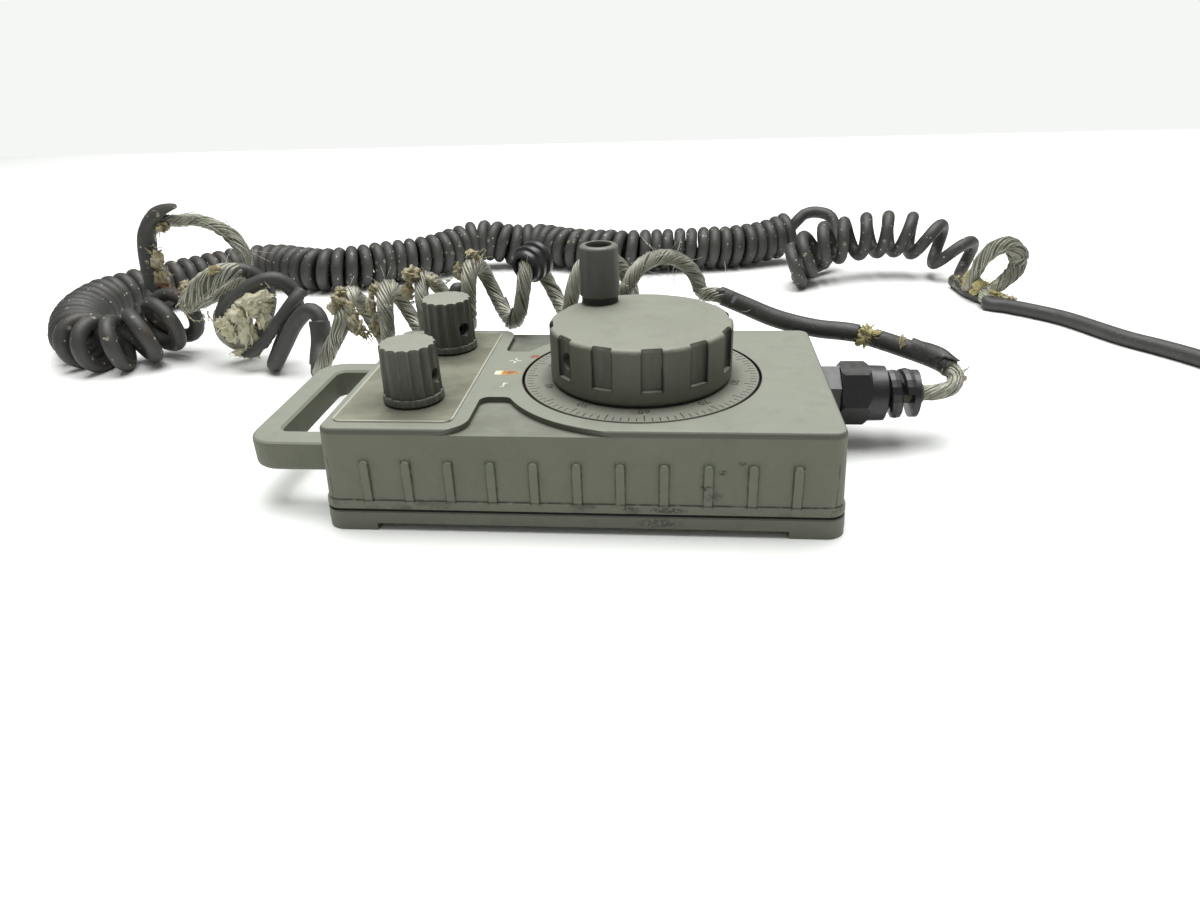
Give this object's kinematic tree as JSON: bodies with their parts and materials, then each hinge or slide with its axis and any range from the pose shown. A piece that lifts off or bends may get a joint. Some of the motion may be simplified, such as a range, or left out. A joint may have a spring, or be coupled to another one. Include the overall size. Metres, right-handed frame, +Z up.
{
  "type": "pulse generator handwheel",
  "caption": "Hand-held machine control: graduated handwheel with spinner grip, selector knobs, carrying loop and a coiled cable.",
  "frame": {"origin": "middle of the object's length and width, loop and gland included, on the surface it stands on", "axes": "+X along the case towards the cable gland, +Y away from the selector side that faces the user, +Z up along the handwheel's axis"},
  "size_m": [0.6535, 0.3462, 0.0731],
  "materials": {
    "case_plastic": "moulded greenish grey, matt, scuffed",
    "wheel_plastic": "moulded greenish grey, worn at the grips",
    "knob_plastic": "moulded dark grey",
    "grip_plastic": "moulded dark grey",
    "legend_metal": "brushed foil plate, worn",
    "seal_rubber": "soft black",
    "gland_plastic": "black nylon",
    "cable_jacket": "black cable jacket, dusty",
    "cable_braid": "tinned screen braid, dulled",
    "inner_plastic": "black moulded",
    "board": "green circuit board",
    "terminal_plastic": "blue moulded",
    "steel": "zinc plated",
    "set_screw": "blackened",
    "brass": "bare",
    "hood_plastic": "moulded grey",
    "chromated": "yellow chromated"
  },
  "bodies": {
    "case": {"upper_case": "case_plastic", "bottom_cover": "case_plastic", "cover_gasket": "seal_rubber", "cover_screws": "steel", "legend_plate": "legend_metal", "axis_switch_body": "inner_plastic", "scale_switch_body": "inner_plastic", "switch_washers": "steel", "switch_nuts": "steel", "encoder_housing": "inner_plastic", "encoder_cap": "inner_plastic", "encoder_screws": "steel", "bearing_upper": "steel", "bearing_lower": "steel", "encoder_board": "board", "optical_sensor": "inner_plastic", "click_ball": "steel", "click_spring": "steel", "wiring_board": "board", "terminal_block": "terminal_plastic", "gland_body": "gland_plastic", "gland_locknut": "gland_plastic", "gland_seal": "seal_rubber", "gland_nut": "gland_plastic", "gland_spiral": "gland_plastic", "cable_entry": "cable_jacket", "cord_lead": "cable_jacket", "bare_coil": "cable_braid", "cord_grommet": "seal_rubber", "torn_coil": "cable_jacket", "torn_loop": "cable_jacket", "coil_left": "cable_jacket", "coil_back": "cable_jacket", "coil_right": "cable_jacket", "second_coil": "cable_jacket", "coil_link": "cable_jacket", "bare_loop": "cable_braid", "cord_tail": "cable_jacket", "stored_coil": "cable_jacket", "plug_hood": "hood_plastic", "plug_insert": "chromated", "plug_pins": "brass", "plug_screws": "steel", "plug_clamp": "steel"},
    "wheel": {"handwheel": "wheel_plastic", "dial_ring": "wheel_plastic", "dial_screws": "steel", "encoder_shaft": "steel", "code_disc": "steel", "click_wheel": "brass", "wheel_set_screw": "set_screw", "grip_washer": "seal_rubber", "grip_screw": "steel"},
    "grip": {"spinner_grip": "grip_plastic"},
    "axis_selector": {"axis_knob": "knob_plastic", "axis_set_screw": "set_screw", "axis_switch_shaft": "steel"},
    "scale_selector": {"scale_knob": "knob_plastic", "scale_set_screw": "set_screw", "scale_switch_shaft": "steel"}
  },
  "joints": [
    {"name": "handwheel_spin", "type": "hinge", "parent": "case", "child": "wheel", "pos_m": [0.01368, 0, 0.034], "axis": [0, 0, 1], "continuous": true},
    {"name": "grip_spin", "type": "hinge", "parent": "wheel", "child": "grip", "pos_m": [-0.00117, 0.01834, 0.06], "axis": [0, 0, 1], "continuous": true},
    {"name": "axis_select", "type": "hinge", "parent": "case", "child": "axis_selector", "pos_m": [-0.05732, -0.0237, 0.034], "axis": [0, 0, 1], "range_deg": [-75, 75]},
    {"name": "scale_select", "type": "hinge", "parent": "case", "child": "scale_selector", "pos_m": [-0.05732, 0.0237, 0.034], "axis": [0, 0, 1], "range_deg": [-45, 45]}
  ]
}
